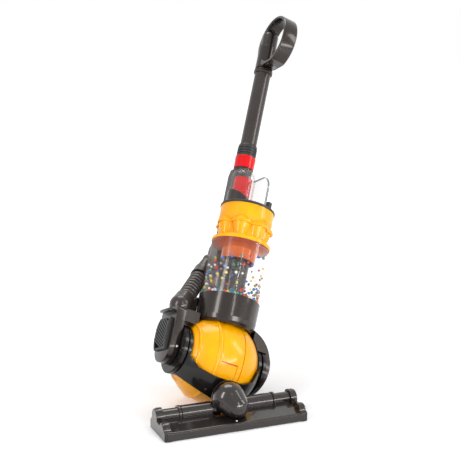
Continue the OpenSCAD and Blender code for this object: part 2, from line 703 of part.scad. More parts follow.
// Each cone is trimmed to its own share of the circle and reaches a little under the next one
lobe_share = 360 / lobe_n;
module share(a0, a1) translate([0, 0, -1]) linear_extrude(cyclone_h + 2)
    polygon([[0, 0], far * [cos(a0), sin(a0)], far * [cos(a1), sin(a1)]]);
module cyclone_body() color(yellow) at_bin(flange_t1) difference() {
    union() {
        cyclone_core();
        for (k = [0:lobe_n - 1]) rotate([0, 0, lobe_share * (k + 0.53)]) intersection() {
            translate([lobe_at, 0, 0]) lobe();
            share(-lobe_share / 2 + 0.25, lobe_share / 2 + 0.5);
        }
    }
    translate([0, 0, -1]) cylinder(r = cyclone_r - 9.3 - 1.5 * wall, h = cyclone_h - 1);
    key_pocket(cyclone_h - 10);
}

// Latch key on the rim of the dark ring
key_turn = 27;
key_w = 8;
key_d = 6;
module key_place() rotate([0, 0, key_turn - 90]) translate([cyclone_r - 4.6, 0, 0]) children();
module key_pocket(t) key_place() translate([-key_d / 2 - 0.25, -key_w / 2 - 0.25, t])
    cube([key_d + 0.5, key_w + 0.5, far]);
module cyclone_ring() color(black) at_bin(cyclone_t1) difference() {
    union() {
        cylinder(r = ring_r, h = ring_h - 1.2);
        translate([0, 0, ring_h - 1.2]) cylinder(r1 = ring_r, r2 = ring_r - 1.4, h = 1.2);
    }
    key_pocket(-1);
}
module power_key() color(black) at_bin(cyclone_t1) key_place()
    translate([-key_d / 2, -key_w / 2, -4]) cube([key_d, key_w, 4 + ring_h + 10]);

// Tower between the ring and the wand
module tower_front(r, t0, t1) difference() {
    at_body() translate([0, tower_y, t0]) cylinder(r = r, h = t1 - t0);
    at_wand(ring_t1 - 1) cylinder(r = socket_r + fit_gap, h = far);
    at_body() translate([-far, wand_y - fit_gap, 0]) cube([2 * far, far, far]);
}
module below_slope() at_body() translate([0, tower_y, tower_t1]) rotate([0, tower_slope, 0])
    translate([-far, -far, -far]) cube([2 * far, 2 * far, far]);
module tower_base() color(charcoal) difference() {
    intersection() {
        tower_front(tower_r, ring_t1, tower_t1 + tower_r);
        below_slope();
    }
    fin(fit_gap);
}
module red_sleeve() color(red) difference() {
    tower_front(tower_r - 6.3, ring_t1 + 1, sleeve_t1);
    below_slope();
}
module wand_socket() color(black) at_wand(ring_t1) tube(socket_r, socket_r - wall, red_t0 + 2 - ring_t1);

visor_wall = 1.8;
fin_x = 9;
fin_t = 3;
fin_h = 57;
module fin(grow) at_body() extrude_x(fin_x - fin_t / 2 - grow, fin_x + fin_t / 2 + grow)
    polygon(concat([[tower_y - tower_r + 4, ring_t1], [bin_y - ring_r + 6, ring_t1]],
        arc([bin_y - ring_r + 32, ring_t1 + fin_h - 26], 26, 180, 90, 10),
        [[tower_y - tower_r + 4, ring_t1 + fin_h]]));
module visor() color([0.9, 0.95, 1, 0.3]) {
    difference() {
        at_body() translate([0, tower_y, ring_t1 + 1]) {
            cylinder(r = tower_r, h = visor_t1 - ring_t1 - 1);
            translate([0, 0, visor_t1 - ring_t1 - 1]) sphere(r = tower_r);
        }
        at_body() translate([0, tower_y, ring_t1 - 1]) {
            cylinder(r = tower_r - visor_wall, h = visor_t1 - ring_t1 + 1);
            translate([0, 0, visor_t1 - ring_t1 + 1]) sphere(r = tower_r - visor_wall);
        }
        below_slope();
        at_wand(ring_t1) cylinder(r = socket_r + fit_gap, h = far);
        at_body() translate([-far, wand_y - 6, 0]) cube([2 * far, far, far]);
    }
    difference() {
        fin(0);
        at_body() translate([0, tower_y, 0]) cylinder(r = tower_r - visor_wall, h = far);
    }
}

// Wand, its red cap and its ribbed collar
module red_cap() color(red) at_wand(red_t0) difference() {
    union() {
        cylinder(r1 = socket_r + 1.4, r2 = socket_r + 2, h = red_h - 1);
        translate([0, 0, red_h - 1]) cylinder(r1 = socket_r + 2, r2 = socket_r + 1.2, h = 1);
    }
    translate([0, 0, -1]) cylinder(r = socket_r + 0.1, h = 3.1);
    translate([0, 0, 2]) cylinder(r = wand_r + 0.1, h = far);
}

module ribbed_collar() color(black) at_wand(red_t1) difference() {
    rotate_extrude() polygon(concat([[wand_r + 0.1, 0], [socket_r + 1, 0]],
        [for (k = [0:2], p = [[0.1, 1], [0.1, -0.2], [0.55, -0.2], [0.55, 1]])
            [socket_r + p[1], 3 + (collar_h - 8) * (k + p[0]) / 3]],
        [[socket_r + 0.6, collar_h - 3], [socket_r - 0.2, collar_h], [wand_r + 0.1, collar_h]]));
}

module wand() color(charcoal) at_wand(red_t0 + 2) tube(wand_r, wand_r - wall, wand_t1 - red_t0 - 2);

module handle_ring() color(charcoal) at_wand(wand_t1) rotate_extrude()
    polygon([[0, 0], [wand_r + 1, 0], [wand_r + 2.6, 1.4], [wand_r + 2.6, grip_ring_h - 3],
        [wand_r + 0.5, grip_ring_h], [0, grip_ring_h]]);

// Handle loop: a round post behind and a broad strap in front
post_r = wand_r + 0.2;
loop_t0 = wand_t1 + grip_ring_h;
loop_back = post_r - 2;
module loop_outline() difference() {
    polygon(oval([loop_back - loop_d / 2, loop_h / 2 - 2], loop_d / 2, loop_h / 2 + 2));
    polygon(oval([loop_back - loop_d / 2 - 1, loop_h / 2], loop_d / 2 - strap_t, loop_h / 2 - strap_t + 2));
    translate([-far, -far]) square([2 * far, far]);
}
module handle_loop() color(charcoal) at_wand(loop_t0) difference() {
    union() {
        extrude_x(-strap_w / 2, strap_w / 2) loop_outline();
        cylinder(r = post_r, h = loop_h - 22);
        translate([0, 0, loop_h - 22]) cylinder(r1 = post_r, r2 = post_r - 4, h = 6);
        translate([-post_r, -post_r - 4, 0]) cube([2 * post_r, post_r + 4, 5]);
    }
    grip_pad(0.4);
}
module grip_pad(grow) intersection() {
    difference() {
        cylinder(r = post_r + 1 + grow, h = loop_h);
        translate([0, 0, -1]) cylinder(r = post_r - 1.4 - grow, h = far);
    }
    translate([0, 2, 26]) extrude_x(-far, 0) polygon(oval([0, 0], 11 + grow, 21 + grow, 32));
}
module handle_grip() color(black) at_wand(loop_t0) grip_pad(0);

head_shell();
sole_plate();
end_cap_left();
end_cap_right();
sole_screws();
hinge_pin();
neck_dome();
neck_flange();
neck_spigot();
yoke_cradle();
pivot_pin_left();
pivot_pin_right();
ball_drum();
ball_left_shell();
ball_right_shell();
ball_hatch();
body_frame();
battery_cells();
battery_door();
side_box();
side_grille();
speaker();
hose_lower_cuff();
hose();
hose_upper_cuff();
bin_cup();
motor();
bin_floor();
bin_clear();
inner_column();
beads_red();
beads_blue();
beads_green();
beads_yellow();
beads_white();
cyclone_skirt();
cyclone_body();
cyclone_ring();
tower_base();
wand_socket();
red_sleeve();
visor();
red_cap();
ribbed_collar();
wand();
handle_ring();
handle_loop();
handle_grip();
bead_fan();
power_key();
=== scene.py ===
import bpy
import bmesh
import json
import math
from bmesh.types import BMEdge, BMVert
from mathutils import Matrix, Vector


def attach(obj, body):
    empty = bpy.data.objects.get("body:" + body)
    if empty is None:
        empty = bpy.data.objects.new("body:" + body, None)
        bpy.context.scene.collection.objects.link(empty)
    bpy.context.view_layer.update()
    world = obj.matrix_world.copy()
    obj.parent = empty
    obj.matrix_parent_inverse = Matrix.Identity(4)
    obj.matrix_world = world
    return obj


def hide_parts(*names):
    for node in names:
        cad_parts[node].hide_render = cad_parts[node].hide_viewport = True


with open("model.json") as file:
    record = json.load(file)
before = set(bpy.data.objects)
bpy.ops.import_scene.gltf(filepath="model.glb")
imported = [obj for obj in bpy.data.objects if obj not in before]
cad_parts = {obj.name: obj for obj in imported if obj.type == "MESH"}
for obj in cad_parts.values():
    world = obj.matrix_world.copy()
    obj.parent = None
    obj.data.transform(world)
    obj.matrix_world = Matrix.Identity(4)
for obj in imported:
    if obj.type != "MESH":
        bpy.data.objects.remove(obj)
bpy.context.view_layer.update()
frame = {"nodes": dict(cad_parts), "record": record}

nodes = frame["nodes"]
scene = bpy.context.scene
scene.view_settings.view_transform = "Standard"
tiny = 1e-6  # metres: vertices this close are one, or lie in the same plane
print("frame loaded:", len(nodes), "nodes")


def hexColor(code):
    shares = [int(code[i:i + 2], 16) / 255 for i in (1, 3, 5)]
    linear = [s / 12.92 if s <= 0.04045 else ((s + 0.055) / 1.055) ** 2.4 for s in shares]
    return (*linear, 1.0)


def perMetre(mm):
    return 1000.0 / mm  # a pattern's size in millimetres as a texture scale


def setNode(tree, node, settings=None, links=None):
    for key, value in (settings or {}).items():
        if key in node.inputs:
            node.inputs[key].default_value = value
        else:
            setattr(node, key, value)
    for key, source in (links or {}).items():
        tree.links.new(source, node.inputs[key])
    return node


def addNode(tree, kind, settings=None, links=None):
    return setNode(tree, tree.nodes.new(kind), settings, links)


# Camera at the photograph's view: metres, degrees and millimetres
view = {"place": (-0.5766, -1.4004, 0.5953), "turn": (78.95, 0.0, -22.41), "lens": 82.6, "sensor": 36.0}
camData = bpy.data.cameras.new("photoCamera")
camData.lens = view["lens"]
camData.sensor_width = view["sensor"]
camera = bpy.data.objects.new("photoCamera", camData)
camera.location = view["place"]
camera.rotation_euler = [math.radians(a) for a in view["turn"]]
scene.collection.objects.link(camera)
scene.camera = camera
print("camera set")


# A named material, with its shader and the coordinates of the piece itself
def startFinish(name):
    mat = bpy.data.materials.new(name)
    mat.use_nodes = True
    tree = mat.node_tree
    coords = addNode(tree, "ShaderNodeTexCoord").outputs["Object"]
    return mat, tree, tree.nodes["Principled BSDF"], coords


# Moulded plastic: the colour drifts a little with the melt's flow, the skin has a faint grain, mould edges are soft.
# A real mould's grain is finer, and is drawn about a millimetre wide so that it shows.
moulding = {"flowDetail": 3.0, "darkAt": 0.3, "lightAt": 0.7, "grainDetail": 2.0, "bump": 0.08, "edgeSamples": 4}


# mottle, skin, depth and edge are in millimetres
def mouldedPlastic(name, light, dark, mottle=30.0, skin=1.2, depth=0.02, rough=(0.2, 0.3), coat=0.0,
                   edge=0.5, ior=1.5, sheen=0.1, glint="#ffffff"):
    mat, tree, shader, coords = startFinish(name)
    flow = addNode(tree, "ShaderNodeTexNoise",
                   {"Scale": perMetre(mottle), "Detail": moulding["flowDetail"]}, {"Vector": coords})
    ramp = addNode(tree, "ShaderNodeValToRGB", {}, {"Fac": flow.outputs["Fac"]})
    ramp.color_ramp.elements[0].position = moulding["darkAt"]
    ramp.color_ramp.elements[0].color = hexColor(dark)
    ramp.color_ramp.elements[1].position = moulding["lightAt"]
    ramp.color_ramp.elements[1].color = hexColor(light)
    grain = addNode(tree, "ShaderNodeTexNoise",
                    {"Scale": perMetre(skin), "Detail": moulding["grainDetail"]}, {"Vector": coords})
    gloss = addNode(tree, "ShaderNodeMapRange", {"To Min": rough[0], "To Max": rough[1]},
                    {"Value": grain.outputs["Fac"]})
    softEdge = addNode(tree, "ShaderNodeBevel", {"samples": moulding["edgeSamples"], "Radius": edge / 1000})
    bump = addNode(tree, "ShaderNodeBump", {"Strength": moulding["bump"], "Distance": depth / 1000},
                   {"Height": grain.outputs["Fac"], "Normal": softEdge.outputs["Normal"]})
    setNode(tree, shader,
            {"IOR": ior, "Specular Tint": hexColor(glint), "Coat Weight": coat, "Coat Roughness": sheen},
            {"Base Color": ramp.outputs["Color"], "Roughness": gloss.outputs["Result"],
             "Normal": bump.outputs["Normal"]})
    return mat


# Clear styrene: hardly there face on, denser towards its edges, with softbox streaks from its mirror share
clearWall = {"haze": 8.0, "hazeDetail": 2.0, "hazeRough": 0.04, "facing": 0.3}


def clearPlastic(name, tint, alpha, rough, mirror):
    mat, tree, shader, coords = startFinish(name)
    haze = addNode(tree, "ShaderNodeTexNoise",
                   {"Scale": perMetre(clearWall["haze"]), "Detail": clearWall["hazeDetail"]}, {"Vector": coords})
    facing = addNode(tree, "ShaderNodeLayerWeight", {"Blend": clearWall["facing"]})
    through = addNode(tree, "ShaderNodeMapRange", {"To Min": alpha[0], "To Max": alpha[1]},
                      {"Value": facing.outputs["Facing"]})
    gloss = addNode(tree, "ShaderNodeMapRange", {"To Min": rough, "To Max": rough + clearWall["hazeRough"]},
                    {"Value": haze.outputs["Fac"]})
    setNode(tree, shader, {"Base Color": hexColor(tint), "Metallic": mirror},
            {"Alpha": through.outputs["Result"], "Roughness": gloss.outputs["Result"]})
    return mat


# Drawn steel: a grey mirror, blurred by scratches along the part, 25 mm long and 1.1 mm wide so that they show
steel = {"colour": "#b9b9bb", "scratchesPerMetre": (40.0, 900.0, 900.0), "detail": 4.0, "rough": (0.25, 0.45)}


def drawnSteel(name):
    mat, tree, shader, coords = startFinish(name)
    lines = addNode(tree, "ShaderNodeMapping", {"Scale": steel["scratchesPerMetre"]}, {"Vector": coords})
    marks = addNode(tree, "ShaderNodeTexNoise", {"Scale": 1.0, "Detail": steel["detail"]},
                    {"Vector": lines.outputs["Vector"]})
    gloss = addNode(tree, "ShaderNodeMapRange", {"To Min": steel["rough"][0], "To Max": steel["rough"][1]},
                    {"Value": marks.outputs["Fac"]})
    setNode(tree, shader, {"Base Color": hexColor(steel["colour"]), "Metallic": 1.0},
            {"Roughness": gloss.outputs["Result"]})
    return mat


mouldedLooks = {
    # near-black ABS with a warm cast and long soft highlights
    "charcoalGlossAbs": {"light": "#221d1b", "dark": "#1b1716", "coat": 0.35, "rough": (0.2, 0.28), "edge": 0.7,
                         "ior": 1.4, "glint": "#ffefe4"},
    # the same from a polished mould: a clear mirror over a dark body
    "charcoalPolishedAbs": {"light": "#1c1816", "dark": "#161312", "coat": 0.8, "rough": (0.24, 0.32), "edge": 1.2,
                            "ior": 1.35, "sheen": 0.045, "glint": "#ffefe4"},
    # blacker, with small tight highlights
    "blackGlossAbs": {"light": "#1a1716", "dark": "#141211", "coat": 0.15, "rough": (0.16, 0.24), "edge": 0.7,
                      "ior": 1.33, "sheen": 0.05},
    # from a lightly etched mould: a wide grey sheen
    "charcoalSatinAbs": {"light": "#2d2826", "dark": "#26211f", "skin": 0.8, "depth": 0.03, "rough": (0.28, 0.38),
                         "coat": 0.4, "edge": 0.7, "ior": 1.4, "glint": "#ffefe4"},
    # dull and a little waxy, without a clear highlight
    "blackMattePolypropylene": {"light": "#232121", "dark": "#1b1919", "skin": 0.8, "depth": 0.05,
                                "rough": (0.36, 0.5), "edge": 0.4},
    # warm yellow that keeps its colour under the light, with a thin bright gloss
    "yellowGlossAbs": {"light": "#ffb200", "dark": "#faa800", "coat": 0.3, "rough": (0.26, 0.34), "ior": 1.28,
                       "sheen": 0.06},
    # full red with small glints
    "redGlossAbs": {"light": "#e20b14", "dark": "#d20810", "coat": 0.1, "rough": (0.2, 0.28), "ior": 1.33},
    # soft grey vinyl, half glossy along each rib
    "softHosePvc": {"light": "#4a4441", "dark": "#3f3936", "skin": 0.6, "depth": 0.02, "rough": (0.28, 0.36),
                    "coat": 0.3},
    # plain off-white with an even gloss
    "whiteFanAbs": {"light": "#e4e3df", "dark": "#dbdad5"},
    # painted light that bounces round inside the ball's yellow finger slot, red-orange and a little blotched
    "paintedSlotBounceLight": {"light": "#d8450a", "dark": "#c83c08", "mottle": 12.0},
    # beads: small hard balls of even colour, each with a point of light
    "redBeadStyrene": {"light": "#d8232a", "dark": "#c81a22", "mottle": 4.0},
    "blueBeadStyrene": {"light": "#2f62c8", "dark": "#2856b8", "mottle": 4.0},
    "greenBeadStyrene": {"light": "#0c8f78", "dark": "#0a8069", "mottle": 4.0},
    "yellowBeadStyrene": {"light": "#e8cf2a", "dark": "#dcc120", "mottle": 4.0},
    "whiteBeadStyrene": {"light": "#f2f2f0", "dark": "#e8e8e5", "mottle": 4.0},
}
clearLooks = {
    # thick wall of the bin: pale streaks on a wall that is nearly gone
    "clearStyrene": {"tint": "#cac4be", "alpha": (0.04, 0.17), "rough": 0.13, "mirror": 0.7},
    # thin sheet of the fin: grey only where it turns away
    "thinClearStyrene": {"tint": "#a9a6a3", "alpha": (0.05, 0.34), "rough": 0.08, "mirror": 0.5},
    # cut edge of that sheet, tinted grey: painted dark reflection of what is round it
    "paintedDarkEdgeStyrene": {"tint": "#5f6266", "alpha": (0.45, 0.8), "rough": 0.03, "mirror": 0.3},
    # smoked: dark, with only a hint of what is behind
    "smokeStyrene": {"tint": "#2b2726", "alpha": (0.6, 0.9), "rough": 0.15, "mirror": 0.0},
}
finishes = {name: mouldedPlastic(name, **look) for name, look in mouldedLooks.items()}
finishes.update({name: clearPlastic(name, **look) for name, look in clearLooks.items()})
finishes.update({name: drawnSteel(name) for name in ("drawnSteel", "foilJacket")})


# Skirt of the cyclone: yellow rim, then painted shade on its underside, deep red-brown just inside the rim and
# orange further in, for the light that the closed bin throws back
skirt = {"centre": (0.07986, 0.15283, 0.22643), "reach": 0.0495, "rim": "#ffb400",
         "paintedDeepShade": "#a42a00", "paintedDeepShadeAt": 0.03, "inside": "#d06000", "insideAt": 0.45}
finishes["shadedSkirtAbs"] = mouldedPlastic("shadedSkirtAbs", **mouldedLooks["yellowGlossAbs"])
skirtTree = finishes["shadedSkirtAbs"].node_tree
skirtCoords = addNode(skirtTree, "ShaderNodeTexCoord").outputs["Object"]
nearBin = addNode(skirtTree, "ShaderNodeMapping",
                  {"vector_type": "TEXTURE", "Location": skirt["centre"], "Scale": (skirt["reach"],) * 3},
                  {"Vector": skirtCoords})
inBin = addNode(skirtTree, "ShaderNodeTexGradient", {"gradient_type": "SPHERICAL"},
                {"Vector": nearBin.outputs["Vector"]})
# a spherical ramp round the skirt's middle paints that shade and bounce light: yellow outside, darkest just inside
# the rim, orange towards the middle
skirtRamp = addNode(skirtTree, "ShaderNodeValToRGB", {}, {"Fac": inBin.outputs["Fac"]})
stops = skirtRamp.color_ramp.elements
stops[0].color = hexColor(skirt["rim"])
stops[1].position = skirt["paintedDeepShadeAt"]
stops[1].color = hexColor(skirt["paintedDeepShade"])
stops.new(skirt["insideAt"]).color = hexColor(skirt["inside"])
setNode(skirtTree, skirtTree.nodes["Principled BSDF"], {}, {"Base Color": skirtRamp.outputs["Color"]})


# Each CAD node takes its slot's finish, apart from those that have their own in nodeFinish
slotFinish = {
    "charcoal_gloss": "charcoalGlossAbs", "charcoal_satin": "charcoalSatinAbs",
    "black_matte": "blackMattePolypropylene", "yellow_gloss": "yellowGlossAbs", "red_gloss": "redGlossAbs",
    "clear_plastic": "clearStyrene", "smoke_plastic": "smokeStyrene", "hose_rubber": "softHosePvc",
    "steel": "drawnSteel", "cell_jacket": "foilJacket", "fan_white": "whiteFanAbs",
    "bead_red": "redBeadStyrene", "bead_blue": "blueBeadStyrene", "bead_green": "greenBeadStyrene",
    "bead_yellow": "yellowBeadStyrene", "bead_white": "whiteBeadStyrene",
}
nodeFinish = {
    "head_shell": "charcoalPolishedAbs", "end_cap_left": "charcoalPolishedAbs",
    "end_cap_right": "charcoalPolishedAbs", "neck_dome": "charcoalPolishedAbs", "yoke_cradle": "blackGlossAbs",
    "tower_base": "charcoalSatinAbs", "wand": "charcoalSatinAbs", "visor": "thinClearStyrene",
    "cyclone_skirt": "shadedSkirtAbs",
}
for part in frame["record"]["subparts"]:
    finish = nodeFinish.get(part["node"], slotFinish[part["material_slot"]])
    piece = nodes[part["node"]]
    piece.data.materials.clear()
    piece.data.materials.append(finishes[finish])
print("finishes given")


# Frames of the tilted groups, as in the part's source, in metres and degrees
pose = {"ball": (0.0122740, 0.0949, 0.0695), "lean": 23.3, "recline": -22.7}
yokeFrame = Matrix.Translation(pose["ball"]) @ Matrix.Rotation(math.radians(pose["lean"]), 4, "Y")
bodyFrame = yokeFrame @ Matrix.Rotation(math.radians(pose["recline"]), 4, "X")


# Edges that turn by more than sharp degrees stay crisp
def finishPiece(bm, name, finish, body, stands, frameMatrix, sharp=38.0):
    bmesh.ops.remove_doubles(bm, verts=bm.verts, dist=tiny)
    bmesh.ops.recalc_face_normals(bm, faces=bm.faces)
    bmesh.ops.transform(bm, matrix=frameMatrix, verts=bm.verts)
    mesh = bpy.data.meshes.new(name)
    bm.to_mesh(mesh)
    bm.free()
    mesh.shade_smooth()
    mesh.set_sharp_from_angle(angle=math.radians(sharp))
    mesh.materials.append(finishes[finish])
    piece = bpy.data.objects.new(name, mesh)
    scene.collection.objects.link(piece)
    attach(piece, body)
    if stands:
        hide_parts(*stands)


def pick(made, kind):
    return [part for part in made if isinstance(part, kind)]


def turnTo(direction):
    return Vector(direction).to_track_quat("Z", "Y").to_matrix().to_4x4()


def roundEdges(bm, edges, size, steps, clamp=False):
    bmesh.ops.bevel(bm, geom=edges, offset=size, segments=steps, profile=0.5, affect="EDGES", material=-1,
                    clamp_overlap=clamp)


def pushFaces(bm, faces, way):
    grown = bmesh.ops.extrude_face_region(bm, geom=faces)["geom"]
    bmesh.ops.translate(bm, vec=way, verts=pick(grown, BMVert))
    bmesh.ops.recalc_face_normals(bm, faces=bm.faces)


def pushEdges(bm, edges, way):
    grown = bmesh.ops.extrude_edge_only(bm, edges=edges)["geom"]
    bmesh.ops.translate(bm, vec=way, verts=pick(grown, BMVert))
    return grown


def cornerBox(bm, low, high):
    low, high = Vector(low), Vector(high)
    place = Matrix.Translation((low + high) / 2) @ Matrix.Diagonal((*(high - low), 1.0))
    return bmesh.ops.create_cube(bm, size=1.0, matrix=place)["verts"]


# Outline points are (radius, height)
def spinOutline(bm, outline, steps):
    verts = [bm.verts.new((r, 0.0, z)) for r, z in outline]
    edges = [bm.edges.new(pair) for pair in zip(verts, verts[1:] + verts[:1])]
    bmesh.ops.spin(bm, geom=verts + edges, cent=(0, 0, 0), axis=(0, 0, 1), angle=math.tau, steps=steps,
                   use_merge=True)


# Section of a ring whose two outer edges are broken
def ringSection(ring):
    shoulder = ring["outer"] - ring["edge"]
    return [(ring["inner"], ring["low"]), (shoulder, ring["low"]), (ring["outer"], ring["low"] + ring["edge"]),
            (ring["outer"], ring["high"] - ring["edge"]), (shoulder, ring["high"]), (ring["inner"], ring["high"])]


# Ribbed hose between its cuffs, with rounded ribs; a rib's points are shares of the pitch and of the rise
hose = {"low": (-0.06815, 0.0125, 0.082), "high": (-0.0325, 0.046, 0.142), "crest": 0.0145, "valley": 0.0096,
        "bore": 0.0085, "ribs": 8, "plain": 0.008, "inset": 0.0002, "steps": 64, "sharp": 60.0,
        "rib": ((0.22, 0.0), (0.24, 0.6), (0.31, 0.92), (0.4, 1.0),
                (0.6, 1.0), (0.69, 0.92), (0.76, 0.6), (0.78, 0.0))}
low, high = Vector(hose["low"]), Vector(hose["high"])
run = (high - low).length
pitch = (run - 2 * hose["plain"]) / hose["ribs"]
outline = [(hose["bore"], hose["inset"]), (hose["valley"], hose["inset"])]
for k in range(hose["ribs"]):
    for share, rise in hose["rib"]:
        outline.append((hose["valley"] + rise * (hose["crest"] - hose["valley"]),
                        hose["plain"] + (k + share) * pitch))
outline += [(hose["valley"], run - hose["inset"]), (hose["bore"], run - hose["inset"])]
bm = bmesh.new()
spinOutline(bm, outline, hose["steps"])
hoseFrame = bodyFrame @ Matrix.Translation(low) @ turnTo(high - low)
finishPiece(bm, "ribbedHose", "softHosePvc", "body", ["hose"], hoseFrame, sharp=hose["sharp"])
print("hose made")


# Handle: a broad strap bent into a loop, with rolled edges, and a round post behind it.
# outer and inner are ellipses: middle y and z, half width, half height; rimAngle is in radians
handle = {"axis": (0.0, 0.034, 0.5383), "width": 0.027, "outer": (-0.0316, 0.0435, 0.044, 0.0475),
          "inner": (-0.0326, 0.0455, 0.037, 0.0405), "sides": 128, "rimAngle": 1.0, "edge": 0.0022, "edgeSteps": 4,
          "post": ((0.0, 0.0), (0.0144, 0.0), (0.0144, 0.0675), (0.0139, 0.070), (0.0124, 0.0725),
                   (0.0104, 0.0748), (0.0, 0.075)), "postSteps": 64}
handleFrame = bodyFrame @ Matrix.Translation(handle["axis"])
bm = bmesh.new()
rings = []
for name in ("outer", "inner"):
    y, z, ry, rz = handle[name]
    made = bmesh.ops.create_circle(bm, segments=handle["sides"], radius=1.0)["verts"]
    stand = Matrix(((0, 0, 1, -handle["width"] / 2), (ry, 0, 0, y), (0, rz, 0, z), (0, 0, 0, 1)))
    bmesh.ops.transform(bm, matrix=stand, verts=made)
    rings += [e for e in bm.edges if e.verts[0] in made]
strap = bmesh.ops.bridge_loops(bm, edges=rings)["faces"]
pushFaces(bm, strap, (handle["width"], 0, 0))
rims = [e for e in bm.edges if len(e.link_faces) == 2 and e.calc_face_angle() > handle["rimAngle"]]
roundEdges(bm, rims, handle["edge"], handle["edgeSteps"])
# the loop is cut off level with the foot of the post, and closed there
cut = bmesh.ops.bisect_plane(bm, geom=bm.verts[:] + bm.edges[:] + bm.faces[:], plane_co=(0, 0, 0),
                             plane_no=(0, 0, -1), clear_outer=True)
bmesh.ops.holes_fill(bm, edges=pick(cut["geom_cut"], BMEdge))
spinOutline(bm, handle["post"], handle["postSteps"])
finishPiece(bm, "handleStrap", "charcoalGlossAbs", "body", ["handle_loop"], handleFrame)
print("handle made")


# Raised sleeve round the foot of the handle's post, with an arched upper edge towards the front
sleeve = {"inner": 0.0141, "outer": 0.0158, "foot": 0.0005, "middle": 0.031, "arch": 0.014, "faces": -2.1,
          "lip": 0.0008, "steps": 72}
bm = bmesh.new()
spinOutline(bm, [(sleeve["inner"], sleeve["foot"]), (sleeve["outer"], sleeve["foot"]),
                 (sleeve["outer"], sleeve["middle"] - sleeve["lip"]),
                 (sleeve["outer"] - sleeve["lip"], sleeve["middle"]), (sleeve["inner"], sleeve["middle"])],
            sleeve["steps"])
for vert in bm.verts:
    if vert.co.z > sleeve["middle"] / 2:
        vert.co.z += sleeve["arch"] * math.cos(math.atan2(vert.co.y, vert.co.x) - sleeve["faces"])
finishPiece(bm, "postSleeve", "charcoalGlossAbs", "body", None, handleFrame)
print("post sleeve made")


# Side box with a round foot and well rounded edges, and its hood over the grille.
# slack keeps the two bevels of the foot from meeting in one point
sideBox = {"inner": -0.0754, "outer": -0.0914, "middle": 0.003, "half": 0.027, "slack": 1e-5, "footSteps": 16,
           "top": 0.062, "corner": 0.005, "cornerSteps": 6, "round": 0.0055, "roundSteps": 6,
           "back": 0.0012, "backSteps": 2, "hoodEdge": 0.0013, "hoodSteps": 3,
           "hood": ((-0.1004, -0.012, 0.053), (-0.0854, 0.022, 0.058))}
bm = bmesh.new()
made = bmesh.ops.create_grid(bm, x_segments=1, y_segments=1, size=sideBox["half"])["verts"]
for vert in made:
    up = sideBox["top"] if vert.co.y > 0 else -sideBox["half"]
    vert.co = (sideBox["inner"], sideBox["middle"] + vert.co.x, up)
for level, size, steps in ((-sideBox["half"], sideBox["half"] - sideBox["slack"], sideBox["footSteps"]),
                           (sideBox["top"], sideBox["corner"], sideBox["cornerSteps"])):
    corners = [v for v in bm.verts if abs(v.co.z - level) < tiny]
    bmesh.ops.bevel(bm, geom=corners, offset=size, offset_type="OFFSET", segments=steps, profile=0.5,
                    affect="VERTICES", material=-1)
pushFaces(bm, bm.faces[:], (sideBox["outer"] - sideBox["inner"], 0, 0))
for side, size, steps in ((sideBox["outer"], sideBox["round"], sideBox["roundSteps"]),
                          (sideBox["inner"], sideBox["back"], sideBox["backSteps"])):
    rims = [e for e in bm.edges if all(abs(v.co.x - side) < tiny for v in e.verts)]
    roundEdges(bm, rims, size, steps, clamp=True)
made = cornerBox(bm, *sideBox["hood"])
roundEdges(bm, [e for e in bm.edges if e.verts[0] in made], sideBox["hoodEdge"], sideBox["hoodSteps"])
finishPiece(bm, "roundedSideBox", "charcoalGlossAbs", "body", ["side_box"], bodyFrame)
print("side box made")


# Fairing that closes the corner between the lower cuff, the arm and the cup, with its top sloping outwards
fairing = {"low": (-0.070, 0.002, 0.060), "high": (-0.0460, 0.024, 0.094), "slope": 0.012, "edge": 0.004,
           "edgeSteps": 4}
bm = bmesh.new()
low, high = Vector(fairing["low"]), Vector(fairing["high"])
cornerBox(bm, low, high)
for vert in bm.verts:
    if vert.co.z > low.z and vert.co.x < (low.x + high.x) / 2:
        vert.co.z -= fairing["slope"]
roundEdges(bm, bm.edges[:], fairing["edge"], fairing["edgeSteps"])
finishPiece(bm, "cuffFairing", "charcoalGlossAbs", "body", None, bodyFrame)
print("fairing made")


# Red-orange strip at the bottom of the ball hatch's finger slot, bent to the ball's curve: painted light, bounced
# round inside the yellow slot.
# Its normals are still those of the flat grid when it is thickened, so that drop goes straight down
paintedSlotBounceStrip = {"left": -0.0187, "right": 0.0087, "low": 0.0127, "high": 0.0149, "radius": 0.0668, "drop": 0.0015,
             "steps": (20, 2)}
bm = bmesh.new()
bmesh.ops.create_grid(bm, x_segments=paintedSlotBounceStrip["steps"][0], y_segments=paintedSlotBounceStrip["steps"][1], size=0.5)
for vert in bm.verts:
    across = paintedSlotBounceStrip["left"] + (vert.co.x + 0.5) * (paintedSlotBounceStrip["right"] - paintedSlotBounceStrip["left"])
    up = paintedSlotBounceStrip["low"] + (vert.co.y + 0.5) * (paintedSlotBounceStrip["high"] - paintedSlotBounceStrip["low"])
    vert.co = (across, -math.sqrt(paintedSlotBounceStrip["radius"] ** 2 - across ** 2 - up ** 2), up)
bmesh.ops.solidify(bm, geom=bm.faces[:], thickness=paintedSlotBounceStrip["drop"])
finishPiece(bm, "paintedSlotBounceStrip", "paintedSlotBounceLight", "ball", None, yokeFrame)
print("slot strip made")


